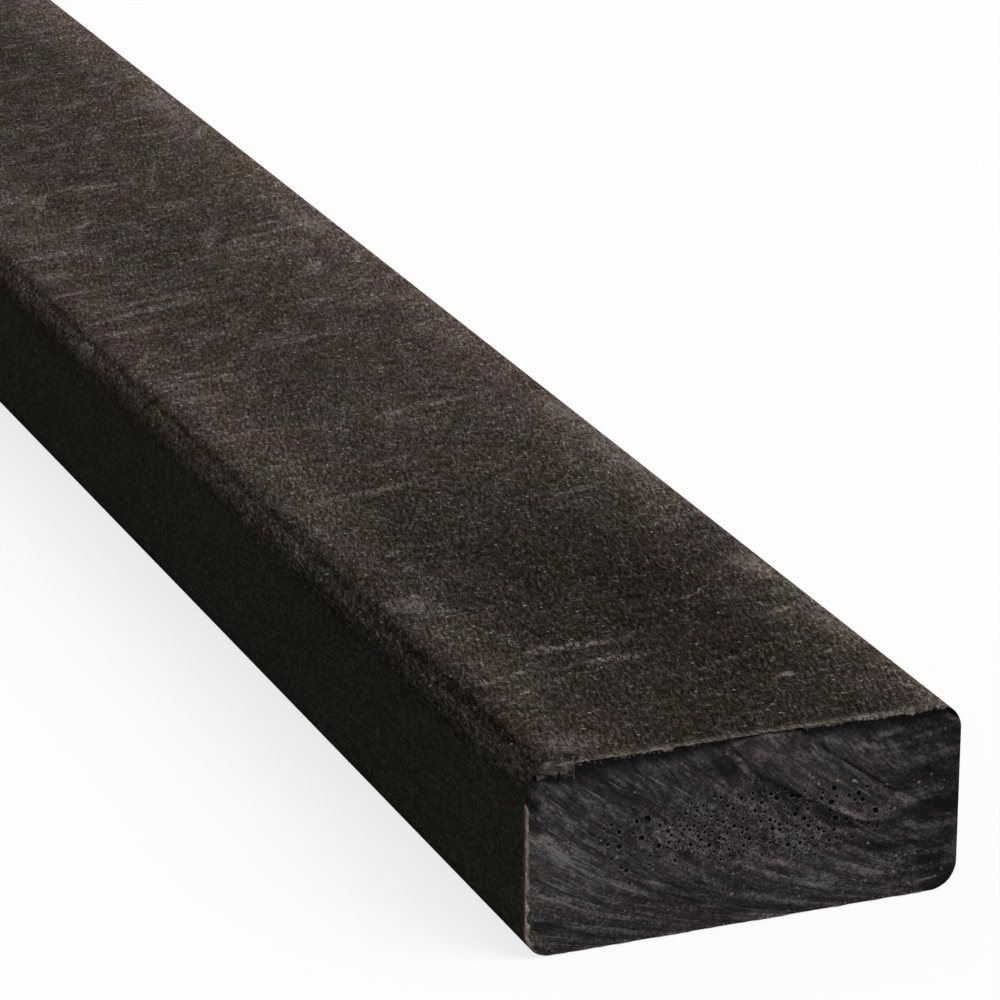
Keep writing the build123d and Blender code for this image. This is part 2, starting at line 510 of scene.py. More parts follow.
# Open bubbles of the foamed core on the front end: their place across and up the end and their
# diameter, and the fields of small ones: how many, their middle, half their spread, and their
# smallest and largest diameter
large_bubbles = [
    (-19.9, 24.3, 1.5), (-25.5, 22.5, 1.0), (-25.5, 19.6, 1.1), (-21.0, 20.6, 1.15), (-22.0, 24.1, 0.9),
    (-28.6, 23.7, 0.6), (-27.1, 24.2, 0.7), (-27.8, 20.4, 0.7), (-22.7, 21.8, 0.6), (-17.4, 22.6, 0.8),
    (-15.7, 21.2, 0.9), (-15.0, 20.2, 0.6), (-14.8, 22.1, 0.6), (-17.5, 18.4, 1.1), (-19.3, 16.7, 0.6),
    (-17.7, 16.2, 0.5), (-14.2, 14.9, 0.65), (-19.3, 14.9, 0.6), (-24.0, 14.6, 0.9), (-25.1, 15.3, 0.7),
    (-27.1, 17.4, 0.6), (-13.5, 23.1, 0.6), (-12.5, 20.9, 0.6), (-12.1, 24.1, 0.7), (-11.0, 26.0, 0.6),
    (-10.4, 21.4, 0.7), (-9.6, 20.1, 0.6), (-8.2, 19.7, 0.7), (-11.0, 17.6, 0.9), (-14.0, 17.4, 0.6),
    (-12.5, 17.2, 0.5), (-13.4, 18.6, 0.6), (-9.0, 18.3, 0.7), (-6.2, 15.5, 0.7), (-7.3, 16.9, 0.9),
    (-6.1, 13.9, 0.5), (-4.7, 13.6, 0.6), (-3.0, 14.0, 0.6), (-3.2, 15.4, 0.6), (-5.3, 18.1, 0.8),
    (-3.6, 18.8, 0.7), (-2.2, 20.0, 0.9), (-0.6, 19.3, 0.6), (0.5, 18.8, 0.8), (1.0, 16.9, 0.9),
    (-2.5, 23.5, 0.8), (-3.7, 24.3, 0.8), (-0.8, 25.4, 0.9), (-5.0, 26.2, 0.8), (-7.9, 24.0, 0.6),
    (-9.9, 24.3, 0.6), (-6.9, 22.7, 0.6), (-4.7, 22.9, 0.6), (-5.6, 21.7, 0.6), (-5.4, 20.6, 0.6),
    (-0.4, 21.1, 0.7), (-15.8, 17.8, 0.6), (-22.3, 18.4, 0.6), (-23.3, 11.9, 0.6), (-6.3, 26.6, 0.7),
    (1.5, 26.0, 0.8), (3.8, 26.0, 0.8), (1.5, 24.8, 0.7), (3.4, 23.8, 0.8), (2.0, 22.3, 0.7),
    (8.1, 25.8, 0.9), (5.2, 25.3, 0.9), (6.4, 24.3, 1.1), (6.6, 25.7, 0.7), (9.6, 24.3, 1.2),
    (10.9, 24.0, 1.2), (12.0, 25.0, 0.6), (18.0, 24.6, 1.2), (15.8, 23.9, 0.6), (15.5, 22.9, 0.9),
    (13.2, 22.5, 0.7), (14.6, 22.1, 0.6), (17.5, 21.8, 1.2), (21.1, 22.6, 1.0), (23.1, 22.8, 1.2),
    (22.3, 21.6, 0.8), (23.9, 21.4, 0.9), (24.8, 23.9, 0.7), (26.7, 18.7, 1.2), (17.4, 20.1, 0.9),
    (10.3, 20.4, 1.1), (3.3, 20.0, 0.7), (7.1, 18.8, 0.8), (8.7, 18.8, 0.6), (5.6, 18.2, 0.9),
    (7.2, 17.7, 0.7), (13.1, 17.5, 0.8), (12.1, 16.7, 0.6), (15.3, 16.5, 0.8), (16.3, 15.9, 0.6),
    (14.7, 19.1, 0.7), (12.1, 19.2, 1.0), (12.9, 21.0, 0.8), (18.5, 15.9, 0.8), (18.7, 18.2, 1.3),
    (21.0, 17.6, 0.9), (23.2, 17.2, 0.6), (24.3, 16.4, 0.7), (25.6, 16.2, 0.8), (26.5, 15.3, 0.6),
    (27.7, 14.9, 0.6), (12.4, 15.0, 0.6), (14.0, 14.9, 0.7), (11.5, 14.3, 0.8), (8.9, 14.4, 1.0),
    (3.7, 13.2, 0.55), (2.7, 15.4, 0.6), (17.5, 13.9, 0.8), (18.9, 14.1, 0.6), (17.0, 12.6, 0.6),
    (14.2, 13.1, 0.5), (30.0, 17.0, 0.5), (30.0, 18.5, 0.6),
]
bubble_fields = [
    (110, (-3.0, 20.0), (13.0, 6.5), 0.4, 0.75),
    (60, (12.0, 18.0), (14.0, 6.5), 0.35, 0.6),
    (24, (2.0, 12.5), (26.0, 2.6), 0.2, 0.4),
]
plain_bubble_fields = [
    (12, (-21.0, 21.0), (6.0, 4.0), 0.8, 1.5),
    (12, (21.0, 21.0), (6.0, 4.0), 0.8, 1.5),
    (60, (0.0, 18.5), (19.0, 6.5), 0.4, 0.9),
]
hole_sizes = (0.4, 1.2)
hole_depths = (0.4, 1.6)
hole_sunk = 0.1
smallest_rim = 0.55
largest_shallow = 0.55
rim_width = 0.17
rim_depth = 0.12

# Pale crumbs that the saw smeared over the front end: place across and up, length, width and turn
crumbs_on_end = [
    (22.3, 25.3, 1.7, 0.8, -30), (18.6, 25.8, 1.2, 1.1, 0), (13.7, 26.4, 0.8, 0.6, 20),
    (13.6, 27.4, 0.9, 0.6, 0), (29.2, 23.4, 1.0, 0.6, -20), (-15.4, 21.8, 0.6, 0.6, 0),
    (-14.7, 19.3, 0.6, 0.5, 0), (-7.1, 13.8, 0.8, 0.5, 10), (1.4, 15.4, 0.7, 0.5, 0),
    (3.3, 19.0, 0.6, 0.5, 0), (9.0, 26.6, 0.6, 0.4, 0), (22.3, 18.0, 1.0, 0.6, -40),
    (20.9, 22.3, 0.5, 0.4, 0), (31.2, 5.1, 0.9, 0.9, 0), (25.7, 11.9, 0.6, 0.6, 0),
    (-1.2, 33.2, 1.9, 1.6, 20), (-2.3, 12.0, 0.8, 0.5, 0), (-2.3, 10.3, 0.7, 0.5, 0),
    (33.6, 8.3, 0.7, 0.5, 0), (-6.6, 24.3, 0.6, 0.4, 0), (-3.6, 35.8, 0.9, 0.4, -45),
    (-2.7, 34.8, 0.8, 0.4, -45), (-0.3, 32.2, 0.9, 0.5, -50), (0.5, 31.5, 0.7, 0.5, -40),
    (1.1, 30.9, 0.9, 0.4, -50), (1.7, 30.2, 0.6, 0.4, -45), (2.3, 29.5, 0.8, 0.5, -45),
    (2.6, 28.8, 0.5, 0.4, 0),
]
crumb_sunk = 0.1


def scatter(bubbles, fields):
    """Add small bubbles to a list, at random places in their fields where none is open already."""
    bubbles = list(bubbles)
    for count, (across, up), (half_across, half_up), smallest, largest in fields:
        for _ in range(count):
            turn = random_places.uniform(0, 2 * math.pi)
            reach = math.sqrt(random_places.uniform(0, 1))
            size = smallest + (largest - smallest) * random_places.uniform(0, 1) ** 2
            y = across + half_across * reach * math.cos(turn)
            z = up + half_up * reach * math.sin(turn)
            if all(math.hypot(y - b[0], z - b[1]) > 0.6 * (size + b[2]) + 0.08 for b in bubbles):
                bubbles.append((y, z, size))
    return bubbles


def ball_shape():
    """Points and faces of a small ball, one across."""
    bpy.ops.object.select_all(action="DESELECT")
    bpy.ops.mesh.primitive_ico_sphere_add(subdivisions=2, radius=0.5)
    ball = bpy.context.object
    points = points_of(ball)
    faces = np.array([list(face.vertices) for face in ball.data.polygons])
    bpy.data.objects.remove(ball)
    return points, faces


def ball_map():
    """Places in a cell, from 0 to 1, of a ball's corners: its front half, and its back half beside it."""
    points, faces = ball_shape()
    corners = points[faces]
    places = corners[:, :, 1:] + 0.5
    behind = corners[:, :, 0].mean(axis=1) < 0
    places[:, :, 0] = (places[:, :, 0] + behind[:, None]) / 2
    return places.reshape(-1, 2)


def balls_on_end(board, end, name, balls, sunk):
    """A mesh of balls on a sawn end: place across and up, sizes out of it, across and up, and turn."""
    outward = math.copysign(1, end)
    surface = points_of(board)
    cap = surface[np.abs(surface[:, 0] - end) < 2 * mm]
    ball_points, ball_faces = ball_shape()
    points = []
    faces = []
    for number, (across, up, sizes, turn) in enumerate(balls):
        middle_of = np.array((across, up)) * mm
        nearest = np.argmin(np.hypot(*(cap[:, 1:] - middle_of).T))
        spin = np.array(Matrix.Rotation(random_places.uniform(0, 6), 3, "X"))
        turning = np.array(Matrix.Rotation(turn, 3, "X"))
        shape = (ball_points @ spin.T * sizes) @ turning.T * mm
        points.append(shape + (cap[nearest, 0] - outward * sunk * sizes[0] * mm, *middle_of))
        faces.append(ball_faces + number * len(ball_points))
    mesh = bpy.data.meshes.new(name)
    mesh.from_pydata(np.concatenate(points).tolist(), [], np.concatenate(faces).tolist())
    for finish in board.data.materials:
        mesh.materials.append(finish)
    piece = bpy.data.objects.new(name, mesh)
    bpy.context.collection.objects.link(piece)
    return piece


def in_layers(balls):
    """Sort balls into layers in which none touches another."""
    layers = []
    for ball in balls:
        for layer in layers:
            if all(math.dist(ball[:2], b[:2]) > 0.56 * (ball[2][1] + b[2][1]) + 0.06 for b in layer):
                layer.append(ball)
                break
        else:
            layers.append([ball])
    return layers


def cut_balls(board, end, balls, finish_number, sunk):
    """Take balls out of a sawn end, and give what they leave one of the board's finishes."""
    for layer in in_layers(balls):
        bpy.context.view_layer.objects.active = board
        bpy.ops.object.mode_set(mode="EDIT")
        pick(board, "faces", lambda face: abs(face.calc_center_median().x - end) < end_band)
        bpy.ops.mesh.quads_convert_to_tris(quad_method="BEAUTY", ngon_method="BEAUTY")
        bpy.ops.object.mode_set(mode="OBJECT")
        cutter = balls_on_end(board, end, "bubbles", layer, sunk)
        for face in cutter.data.polygons:
            face.material_index = finish_number
        bpy.context.view_layer.objects.active = board
        cut = board.modifiers.new("open bubbles", "BOOLEAN")
        cut.operation = "DIFFERENCE"
        cut.solver = "EXACT"
        cut.object = cutter
        bpy.ops.object.modifier_apply(modifier=cut.name)
        bpy.data.objects.remove(cutter)


def open_bubbles(board, end, bubbles):
    """Cut the open bubbles into a sawn end, the larger ones with the saw's pale burr round them."""
    rims = []
    holes = []
    shallow_holes = []
    for across, up, size in bubbles:
        long = size * random_places.uniform(0.9, 1.25)
        turn = math.radians(random_places.uniform(-60, -15))
        if size >= smallest_rim:
            rims.append((across, up, (2 * rim_depth, long + 2 * rim_width, size + 2 * rim_width), turn))
        hole = (across, up, (np.interp(size, hole_sizes, hole_depths), long, size), turn)
        if size < largest_shallow:
            shallow_holes.append(hole)
        else:
            holes.append(hole)
    cut_balls(board, end, rims, rim_finish, 0)
    cut_balls(board, end, holes, wall_finish, hole_sunk)
    cut_balls(board, end, shallow_holes, shallow_finish, hole_sunk)


def join_to(board, piece):
    """Join a piece with all of it marked as torn to the board."""
    torn = piece.data.attributes.new("torn", "FLOAT", "POINT")
    torn.data.foreach_set("value", np.ones(len(piece.data.vertices)))
    bpy.ops.object.select_all(action="DESELECT")
    piece.select_set(True)
    board.select_set(True)
    bpy.context.view_layer.objects.active = board
    bpy.ops.object.join()


def add_crumbs(board):
    """Pale crumbs on the front end, half sunk in it."""
    balls = []
    for across, up, long, wide, turn in crumbs_on_end:
        balls.append((across, up, (0.5 * wide, long, wide), math.radians(turn)))
    crumbs = balls_on_end(board, front, "crumbs", balls, crumb_sunk)
    map_small(crumbs.data, len(balls), ball_map())
    join_to(board, crumbs)


def make_board():
    board = moulded_bar()
    inset_to = edge_radius - corner_rest
    sawn_cap(board, front, front_strip_steps, [0.3 * mm] * 8 + [(inset_to - 2.4 * mm) / 7] * 7)
    sawn_cap(board, back, back_strip_steps, [0.5 * mm] * 4 + [(inset_to - 2 * mm) / 5] * 5)
    bpy.ops.mesh.select_all(action="SELECT")
    bpy.ops.mesh.normals_make_consistent(inside=False)
    bpy.ops.object.mode_set(mode="OBJECT")
    burrs = [burr(*finish) for finish in burr_finishes]
    for finish in [moulded_skin(), sawn_face()] + burrs:
        board.data.materials.append(finish)
    for face in board.data.polygons:
        face.material_index = int(abs(face.normal.x) > 0.9)
    press_crease(board)
    torn = np.zeros(len(board.data.vertices))
    hollow = np.zeros(len(board.data.vertices))
    for end, seed, plain in ((front, 3, False), (back, 41, True)):
        near, torn_near, hollow_near = saw_off(board, end, seed, plain)
        torn[near] = torn_near
        hollow[near] = hollow_near
    board.data.attributes.new("torn", "FLOAT", "POINT").data.foreach_set("value", torn)
    # The hollow mark says where the sawn ends get painted shade under the lip
    board.data.attributes.new("hollow", "FLOAT", "POINT").data.foreach_set("value", hollow)
    open_bubbles(board, front, scatter(large_bubbles, bubble_fields))
    open_bubbles(board, back, scatter([], plain_bubble_fields))
    lay_map(board)
    add_crumbs(board)
    add_shreds(board, front, shred_runs)
    add_shreds(board, back, plain_shred_runs)
    return board


# Finishes

# Colours of the shreds, the skin, its dust and the sawn ends
tan_shred = (0.18, 0.146, 0.122, 1)
grey_shred = (0.26, 0.232, 0.208, 1)
brown_shred = (0.115, 0.08, 0.066, 1)
left_shred = (0.33, 0.265, 0.225, 1)
gap_in_shreds = (0.042, 0.036, 0.031, 1)
grey_skin = (0.0462, 0.0414, 0.0343, 1)
brown_skin = (0.0565, 0.0405, 0.0366, 1)
olive_side = (0.0475, 0.0447, 0.0378, 1)
olive_tint = (1.03, 1.025, 0.935, 1)
violet_tint = (0.985, 0.968, 1.045, 1)
middle_grey = (0.042, 0.042, 0.042)
pale_dust = (0.2, 0.172, 0.152, 1)
pale_fleck = (0.3, 0.275, 0.25, 1)
cool_cut = (0.0915, 0.0882, 0.0855, 1)
warm_cut = (0.1065, 0.0878, 0.0845, 1)
cut_scratch = (0.2, 0.185, 0.18, 1)
cut_fleck = (0.3, 0.27, 0.24, 1)
burr_tint = (1.0, 0.93, 0.9)


class Reading:
    """One output of a material's nodes. Sums on it add the nodes that work them out."""

    def __init__(self, tree, socket):
        self.tree = tree
        self.socket = socket

    def node(self, kind, settings=None, sockets=None, output=0):
        """Add a node: first its settings, then the values or links of its sockets."""
        made = self.tree.nodes.new(kind)
        for name, value in (settings or {}).items():
            setattr(made, name, value)
        for name, value in (sockets or {}).items():
            if isinstance(name, int):
                socket = made.inputs[name]
            else:
                socket = next(s for s in made.inputs if s.enabled and s.name == name)
            if isinstance(value, Reading):
                self.tree.links.new(value.socket, socket)
            else:
                socket.default_value = value
        outputs = [s for s in made.outputs if s.enabled]
        return Reading(self.tree, outputs[output] if outputs else None)

    def maths(self, operation, *others):
        return self.node("ShaderNodeMath", {"operation": operation}, dict(enumerate((self, *others))))

    def vectors(self, operation, sockets):
        return self.node("ShaderNodeVectorMath", {"operation": operation}, sockets)

    def __add__(self, other):
        return self.maths("ADD", other)

    __radd__ = __add__

    def __sub__(self, other):
        return self.maths("SUBTRACT", other)

    def __rsub__(self, other):
        return self.node("ShaderNodeMath", {"operation": "SUBTRACT"}, {0: other, 1: self})

    def __mul__(self, other):
        return self.maths("MULTIPLY", other)

    __rmul__ = __mul__

    def __rpow__(self, other):
        return self.node("ShaderNodeMath", {"operation": "POWER"}, {0: other, 1: self})

    def __abs__(self):
        return self.maths("ABSOLUTE")

    def root(self):
        return self.maths("SQRT")

    def at_least(self, other):
        return self.maths("MAXIMUM", other)

    def at_most(self, other):
        return self.maths("MINIMUM", other)

    def rise(self, start, end):
        """0 at the start, 1 at the end, and an S-shaped rise between."""
        settings = {"interpolation_type": "SMOOTHSTEP"}
        return self.node(
            "ShaderNodeMapRange", settings, {"Value": self, "From Min": start, "From Max": end}
        )

    def length(self):
        measured = self.vectors("LENGTH", {"Vector": self})
        return Reading(self.tree, measured.socket.node.outputs["Value"])

    def parts(self):
        split = self.node("ShaderNodeSeparateXYZ", None, {"Vector": self})
        node = split.socket.node
        return [Reading(self.tree, output) for output in node.outputs]


def new_finish(name):
    """A new material, and the places on the board in millimetres that its patterns are laid out by."""
    material = bpy.data.materials.new(name)
    material.use_nodes = True
    material.node_tree.nodes.clear()
    start = Reading(material.node_tree, None)
    coordinates = start.node("ShaderNodeTexCoord", None, None, 3)
    return material, coordinates.vectors("SCALE", {"Vector": coordinates, "Scale": 1 / mm})


def blend(share, first, second):
    """The first colour where the share is 0, the second where it is 1."""
    return share.node("ShaderNodeMix", {"data_type": "RGBA"}, {"Factor": share, "A": first, "B": second})


def shaded(strength, colour):
    """A colour made lighter or darker by a strength."""
    return strength.vectors("SCALE", {"Vector": colour, "Scale": strength})


def either(share, first, second):
    """The first reading where the share is 0, the second where it is 1."""
    return first * (1 - share) + second * share


def tinted(colour, tint):
    """A colour multiplied by a tint."""
    return colour.vectors("MULTIPLY", {0: colour, 1: tint})


def clumps(place, size, detail=2.0, rough=0.5, skew=0.0):
    """Random soft clumps of about one size, 0 to 1."""
    values = {"Vector": place, "Scale": 1 / size, "Detail": detail, "Roughness": rough, "Distortion": skew}
    return place.node("ShaderNodeTexNoise", None, values)


def laid(place, middle_of, turns, sizes):
    """Places measured from a middle, turned about the three axes, in steps of the given sizes."""
    values = {"Vector": place, "Location": middle_of, "Rotation": turns, "Scale": sizes}
    return place.node("ShaderNodeMapping", {"vector_type": "TEXTURE"}, values)


def turned(place, turn, sizes):
    """Places turned in the board's top, in steps of the given sizes."""
    return laid(place, (0, 0, 0), (0, 0, turn), sizes)


def ragged(place, by, size, reach):
    """Places moved about at random, in lumps of the given size and by about the given reach."""
    shift = place.node("ShaderNodeTexNoise", None, {"Vector": by, "Scale": 1 / size, "Detail": 2}, 1)
    shift = place.vectors("SUBTRACT", {0: shift, 1: (0.5, 0.5, 0.5)})
    shift = place.vectors("SCALE", {"Vector": shift, "Scale": 4 * reach})
    return place.vectors("ADD", {0: place, 1: shift})


def strands(place, turn, long, wide, detail=1.0):
    """Random short strands across the board, turned by so many degrees."""
    return clumps(turned(place, math.radians(turn), (wide, long, wide)), 1, detail)


def specks(place, spacing, size, chosen):
    """Small round specks in a random share of places."""
    cells = place.node("ShaderNodeTexVoronoi", None, {"Vector": place, "Scale": 1 / spacing})
    tone = Reading(place.tree, cells.socket.node.outputs["Color"]).parts()[0]
    return cells.rise(size / spacing, 0.4 * size / spacing) * tone.rise(1 - chosen, 1.02 - chosen)


def patch(place, behind, across, long, wide, turn=0.0):
    """A soft patch on the top, 1 in its middle, with its half length across and its half width."""
    middle_of = (front / mm - behind, across, thickness / mm)
    return laid(place, middle_of, (0, 0, turn), (wide, long, 30)).length().rise(1, 0.2)


def scratch(place, start, finish, wide):
    """A straight scratch on the top between two places, each behind the front end and across."""
    run = finish[0] - start[0]
    over = finish[1] - start[1]
    middle_of = ((start[0] + finish[0]) / 2, (start[1] + finish[1]) / 2)
    return patch(place, *middle_of, math.hypot(run, over) / 2, wide, math.atan2(run, over))


def end_patch(place, across, up, long, wide, turn):
    """A soft patch on the front end, with its half length and half width, turned up by so many degrees."""
    middle_of = (front / mm, across, up)
    return laid(place, middle_of, (math.radians(turn), 0, 0), (30, long, wide)).length().rise(1, 0.2)


def end_scratch(place, start, finish, wide):
    """A straight scratch on the front end between two places, each across and up it."""
    over = finish[0] - start[0]
    climb = finish[1] - start[1]
    middle_of = ((start[0] + finish[0]) / 2, (start[1] + finish[1]) / 2)
    turn = math.degrees(math.atan2(climb, over))
    return end_patch(place, *middle_of, math.hypot(over, climb) / 2, wide, turn)


def finish_off(material, colour, roughness, bump, specular):
    surface = colour.node(
        "ShaderNodeBsdfPrincipled",
        None,
        {"Base Color": colour, "Roughness": roughness, "Normal": bump, "Specular IOR Level": specular},
    )
    surface.node("ShaderNodeOutputMaterial", None, {"Surface": surface})
    return material


def bumps(height, distance):
    return height.node("ShaderNodeBump", None, {"Height": height, "Distance": distance})


def torn_colour(place):
    """The ragged lip round the ends: dusty tan and grey shreds."""
    _, across, up = place.parts()
    on_left = across.rise(-42.5, -43.8)
    flap = across.rise(-33, -36) * up.rise(38.1, 37.4)
    shreds = clumps(place, 0.8, 3, 0.75).rise(0.4, 0.66).at_least(0.4 * on_left)
    shreds = shreds * (1 - 0.8 * flap * (1 - on_left) * clumps(place, 1.6, 2, 0.6).rise(0.5, 0.58))
    runs = clumps(place, 5, 2).rise(0.35, 0.65)
    light = blend(runs, tan_shred, grey_shred)
    brown = (clumps(place, 2.2, 2).rise(0.54, 0.68) * 0.75).at_least(flap * 0.55)
    light = blend(brown, light, brown_shred)
    light = blend(on_left, light, left_shred)
    return blend(shreds, gap_in_shreds, light)


def marked(place, name):
    """The share of a place that one of the mesh's own marks gives, such as torn or hollow."""
    settings = {"attribute_type": "GEOMETRY", "attribute_name": name}
    return place.node("ShaderNodeAttribute", settings, None, 2)


def any_of(shares):
    """The largest of several shares."""
    largest = shares[0]
    for share in shares[1:]:
        largest = largest.at_least(share)
    return largest


# Marks on the top, each behind the front end and across: dusty patches with half their length across
# and half their width, and scratches of pale grains from one place to another, with half their width
dusty_patches = [
    (440, 35, 7, 22), (328, 36, 6, 14), (181, 39, 5, 12), (142, 41, 6, 14), (155, 39, 5, 20),
    (81, 38, 6, 8), (46, 39, 5, 9), (84, -34, 6, 6), (24, 19, 2.5, 1.6), (311, -35, 6, 5), (8, -32, 8, 5),
]
pale_scratches = [
    ((52.2, -29), (52.0, 1.5), 2.3), ((43.5, -17), (43.3, 1.5), 1.8), ((66, 15), (73, 27), 0.8),
    ((375, -17), (376.5, 10), 1.9), ((361, -29), (376, -14), 1.9), ((342, -24), (350, -10), 1.7),
    ((25, 16), (22, 24), 0.8), ((54, 29), (56, 37), 1.2),
]
faint_scratches = [((142, -40), (151, 2), 2.4), ((160, -18), (166, 2), 2.2), ((128, 13), (136, 31), 2.0)]
dark_scratches = [((246, 22), (222, 29), 0.9), ((322, -31), (322, -20), 0.9), ((206, 15), (196, 31), 0.7)]


def moulded_skin():
    """The moulded skin: a felt of fine flecks over mottled brown and grey, with dusty scuffs."""
    material, place = new_finish("moulded_skin")
    x, across, up = place.parts()
    behind = front / mm - x
    ragged_up = up + 4.5 * (clumps(place, 6, 3, 0.6) - 0.5)
    on_side = abs(across).rise(38, 41) * ragged_up.rise(36, 29.5)

    # Dust on the top, more towards its long edges, the slow change along the board, and painted light on
    # the roundings
    dust_and_shade = clumps(place, 9, 3, 0.7)
    right_edge = ((across - 16) * (1 / 26)).at_least(0)
    right_edge = right_edge * right_edge * across.rise(44.4, 42)
    left_edge = across.rise(-10, -31) * across.rise(-40, -34.5)
    near_end = behind.rise(190, 60)
    worn = (1 + 0.85 * near_end) * right_edge + (0.3 + 0.35 * near_end) * left_edge
    worn = worn * (2.6 * dust_and_shade - 0.3).at_least(0.1) * up.rise(22, 36)
    drift = clumps(turned(place, 0, (90, 30, 30)), 1, 2)
    tone = 0.74 + 0.68 * drift - 0.42 * near_end + 0.1 * behind.rise(250, 420)
    # Painted light: the roundings of the long edges lighter, more so near the front end
    on_rounding = abs(across).rise(41.5, 43) * up.rise(37.3, 36) * up.rise(31.8, 35)
    tone = tone * (1 + worn) * (1 - 0.1 * across.rise(-39.6, -40.9))
    tone = tone * (1 + (0.28 + 0.6 * near_end) * on_rounding)
    tone = either(on_side, tone, 0.71 + 0.82 * drift + 0.2 * up.rise(18, 9) * near_end)

    # Mottling, browner and greyer, and olive on the sides
    mottle = clumps(turned(place, -0.2, (26, 12, 12)), 1, 4, 0.65, 0.4)
    mottle = mottle + clumps(turned(place, 0.5, (7, 3.4, 3.4)), 1, 2)
    brown = 0.18 + 0.3 * behind.rise(90, 230) + 0.25 * worn.at_most(1) + 1.9 * (mottle - 1)
    colour = blend(brown.at_least(0).at_most(1), grey_skin, brown_skin)
    tint = clumps(turned(place, 0.1, (22, 8, 8)), 1, 3, 0.6).rise(0.32, 0.68)
    colour = tinted(colour, blend(tint, olive_tint, violet_tint))
    colour = blend(on_side, colour, olive_side)

    # Felt of grains and short strands in several directions, and bands of wiped dust; the felt's bright
    # grains are partly its own colour and partly painted glints
    grain = clumps(turned(place, -0.25, (2.6, 0.68, 0.68)), 1, 3, 0.8)
    lengthwise = behind.rise(270, 130)
    felt = any_of([
        strands(place, 24, 2.4, 0.6, 2).rise(0.5, 0.76) * (1 - 0.7 * lengthwise),
        strands(place, 68, 3.2, 0.42, 2).rise(0.52, 0.78) * 0.8,
        strands(place, -86, 3.6, 0.4, 2).rise(0.5, 0.76) * (0.3 + 0.7 * lengthwise),
    ])
    clouds = clumps(turned(place, -0.3, (9, 4.5, 4.5)), 1, 3, 0.6) * (1 - 0.6 * lengthwise)
    clouds = clouds + clumps(turned(place, 0.05, (24, 4, 4)), 1, 3, 0.6) * (0.6 * lengthwise)
    wiped = clumps(turned(place, 0.23, (5, 34, 34)), 1, 3, 0.6).rise(0.5, 0.75)
    wiped = wiped.at_least(clumps(turned(place, 1.19, (4, 30, 30)), 1, 3, 0.6).rise(0.54, 0.78))
    strokes = strands(place, 8, 2.4, 0.6).rise(0.58, 0.74)
    strokes = strokes.at_least(strands(place, -32, 2.4, 0.6).rise(0.6, 0.76))
    wiped = wiped * (1 - on_side) * (0.3 - 0.15 * lengthwise)
    fleck = 2.2 * grain + 0.28 * felt + 0.3 * strokes + 0.55 * clouds + wiped - 1.58
    fleck = fleck * (1 - 0.45 * on_side) * (1 + 0.18 * lengthwise)
    hue = colour.vectors("SUBTRACT", {0: colour, 1: middle_grey})
    hue = shaded(tone * 14 ** (0.45 * fleck), hue)
    colour = shaded(tone * 14 ** fleck, middle_grey)
    colour = colour.vectors("ADD", {0: colour, 1: hue})

    # Scuffs of pale grains and a few dark scratches
    grains = clumps(turned(place, -0.2, (2.0, 0.8, 0.8)), 1, 3, 0.8).rise(0.43, 0.6)
    loose = ragged(place, place, 2.4, 1.0)
    patches = any_of([patch(loose, *where) for where in dusty_patches])
    scratched = any_of([scratch(loose, *line) for line in pale_scratches])
    faint = any_of([scratch(loose, *line) for line in faint_scratches])
    dusty = (patches * 0.6 + scratched * 0.9 + faint * 0.55) * grains
    colour = blend(dusty.at_most(1), colour, pale_dust)
    dark = any_of([scratch(place, *line) for line in dark_scratches])
    colour = shaded(1 - 0.45 * dark, colour)
    # Pale specks, partly pale grains and partly painted glints
    sparkle = specks(place, 2.2, 0.42, 0.2).at_least(specks(place, 1.5, 0.3, 0.16) * 0.6)
    colour = blend(sparkle * 0.8 * (1 - 0.6 * on_side), colour, pale_fleck)

    # Painted shade in the mould seam's crease, patchy by the same clumps as the dust
    crease_across = half_width - edge_radius + edge_radius * math.cos(crease_turn)
    crease_up = thickness - edge_radius + edge_radius * math.sin(crease_turn)
    crease = abs(across + crease_across / mm).rise(1.3, 0.1) * abs(up - crease_up / mm).rise(1.6, 0.3)
    colour = shaded(1 - 0.6 * crease * dust_and_shade, colour)
    colour = blend(marked(place, "torn"), colour, torn_colour(place))

    height = grain + felt * 0.5
    return finish_off(material, colour, 0.78 + 0.15 * grain, bumps(height, 0.2 * mm), 0.0)
